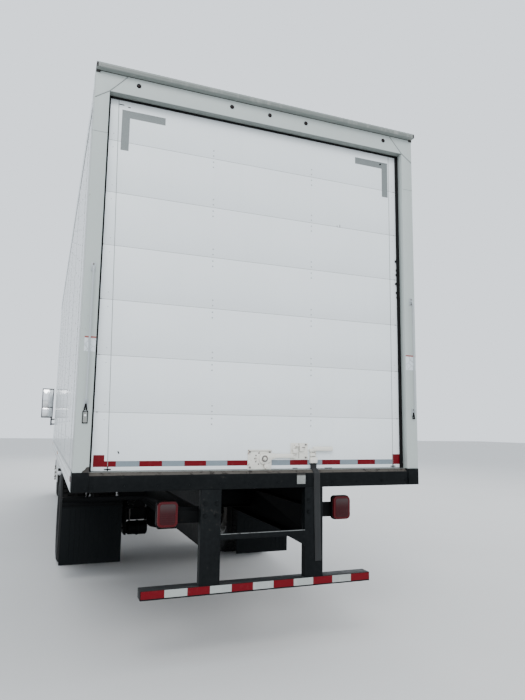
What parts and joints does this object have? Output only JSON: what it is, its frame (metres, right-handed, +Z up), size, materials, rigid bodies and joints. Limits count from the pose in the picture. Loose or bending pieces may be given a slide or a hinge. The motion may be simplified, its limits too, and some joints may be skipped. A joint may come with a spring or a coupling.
{
  "type": "box truck",
  "caption": "Conventional-cab box truck: tilting hood, steering front axle, dual rear wheels, long van body with a sectional roll-up rear door and an underride guard.",
  "frame": {"origin": "on the ground under the middle of the overall length and width", "axes": "+Z up, -Y towards the front of the truck, +X to its left side"},
  "size_m": [3.096, 10.77, 4.03],
  "materials": {
    "body_paint": "gloss white",
    "black_steel": "satin black",
    "white_wheel": "gloss white",
    "rubber_tyre": "matt",
    "rubber": "matt",
    "glass": "clear",
    "lamp_red": "gloss",
    "lamp_clear": "clear",
    "lamp_amber": "gloss",
    "aluminium": "brushed",
    "cast_iron": "rough",
    "engine_paint": "matt",
    "dark_plastic": "matt",
    "seat_cloth": "woven",
    "floor_wood": "oiled",
    "webbing": "woven",
    "latch_paint": "worn white"
  },
  "bodies": {
    "truck": {"chassis_frame": "black_steel", "leaf_springs": "black_steel", "front_axle": "black_steel", "rear_axle": "black_steel", "driveshaft": "black_steel", "engine": "engine_paint", "radiator": "aluminium", "exhaust": "aluminium", "fuel_tank": "aluminium", "battery_box": "black_steel", "air_tanks": "black_steel", "cab_shell": "body_paint", "cab_glass": "glass", "seats": "seat_cloth", "dashboard": "dark_plastic", "cab_lamps": "lamp_amber", "front_bumper": "body_paint", "box_longsills": "black_steel", "box_crossmembers": "black_steel", "box_floor": "floor_wood", "box_wall_left": "body_paint", "box_wall_right": "body_paint", "box_front_wall": "body_paint", "box_roof": "aluminium", "rear_frame": "body_paint", "rear_sill": "black_steel", "rollup_door": "body_paint", "door_latch": "latch_paint", "pull_strap": "webbing", "grab_rods": "latch_paint", "rear_lamps": "lamp_red", "underride_guard": "black_steel", "mud_flaps": "rubber"},
    "wheel_front_left": {"rim_front_left": "white_wheel", "tyre_front_left": "rubber_tyre"},
    "wheel_front_right": {"rim_front_right": "white_wheel", "tyre_front_right": "rubber_tyre"},
    "wheels_rear_left": {"rims_rear_left": "white_wheel", "tyres_rear_left": "rubber_tyre"},
    "wheels_rear_right": {"rims_rear_right": "white_wheel", "tyres_rear_right": "rubber_tyre"},
    "knuckle_left": {"knuckle_left": "cast_iron"},
    "knuckle_right": {"knuckle_right": "cast_iron"},
    "tie_rod": {"tie_rod": "black_steel"},
    "steering_wheel": {"steering_wheel": "dark_plastic"},
    "door_left": {"cab_door_left": "body_paint", "door_glass_left": "glass", "mirror_left": "dark_plastic"},
    "door_right": {"cab_door_right": "body_paint", "door_glass_right": "glass", "mirror_right": "dark_plastic"},
    "hood": {"hood": "body_paint", "grille": "dark_plastic", "headlamps": "lamp_clear"}
  },
  "joints": [
    {"name": "steer_left", "type": "hinge", "parent": "truck", "child": "knuckle_left", "pos_m": [0.86, -4.37, 0.506], "axis": [0, 0, 1], "range_deg": [-40, 40]},
    {"name": "spin_front_left", "type": "hinge", "parent": "knuckle_left", "child": "wheel_front_left", "pos_m": [1, -4.37, 0.506], "axis": [1, 0, 0], "continuous": true},
    {"name": "spin_rear_left", "type": "hinge", "parent": "truck", "child": "wheels_rear_left", "pos_m": [0.965, 2.02, 0.506], "axis": [1, 0, 0], "continuous": true},
    {"name": "door_left_hinge", "type": "hinge", "parent": "truck", "child": "door_left", "pos_m": [1.045, -3.723, 1.4], "axis": [0, 0, -1], "range_deg": [0, 70]},
    {"name": "steer_right", "type": "hinge", "parent": "truck", "child": "knuckle_right", "pos_m": [-0.86, -4.37, 0.506], "axis": [0, 0, 1], "range_deg": [-40, 40]},
    {"name": "spin_front_right", "type": "hinge", "parent": "knuckle_right", "child": "wheel_front_right", "pos_m": [-1, -4.37, 0.506], "axis": [1, 0, 0], "continuous": true},
    {"name": "spin_rear_right", "type": "hinge", "parent": "truck", "child": "wheels_rear_right", "pos_m": [-0.965, 2.02, 0.506], "axis": [1, 0, 0], "continuous": true},
    {"name": "door_right_hinge", "type": "hinge", "parent": "truck", "child": "door_right", "pos_m": [-1.045, -3.723, 1.4], "axis": [0, 0, 1], "range_deg": [0, 70]},
    {"name": "tie_rod_pivot", "type": "hinge", "parent": "knuckle_left", "child": "tie_rod", "pos_m": [0.86, -4.18, 0.4], "axis": [0, 0, 1], "range_deg": [-40, 40]},
    {"name": "steering_wheel_turn", "type": "hinge", "parent": "truck", "child": "steering_wheel", "pos_m": [0.48, -3.455, 1.69], "axis": [0, 0.8706, 0.4921], "range_deg": [-720, 720]},
    {"name": "hood_tilt", "type": "hinge", "parent": "truck", "child": "hood", "pos_m": [0, -5.22, 0.77], "axis": [1, 0, 0], "range_deg": [0, 60]}
  ],
  "couplings": [
    {"joint": "steer_right", "follows": "steer_left", "ratio": 1},
    {"joint": "tie_rod_pivot", "follows": "steer_left", "ratio": -1},
    {"joint": "steering_wheel_turn", "follows": "steer_left", "ratio": 18}
  ]
}
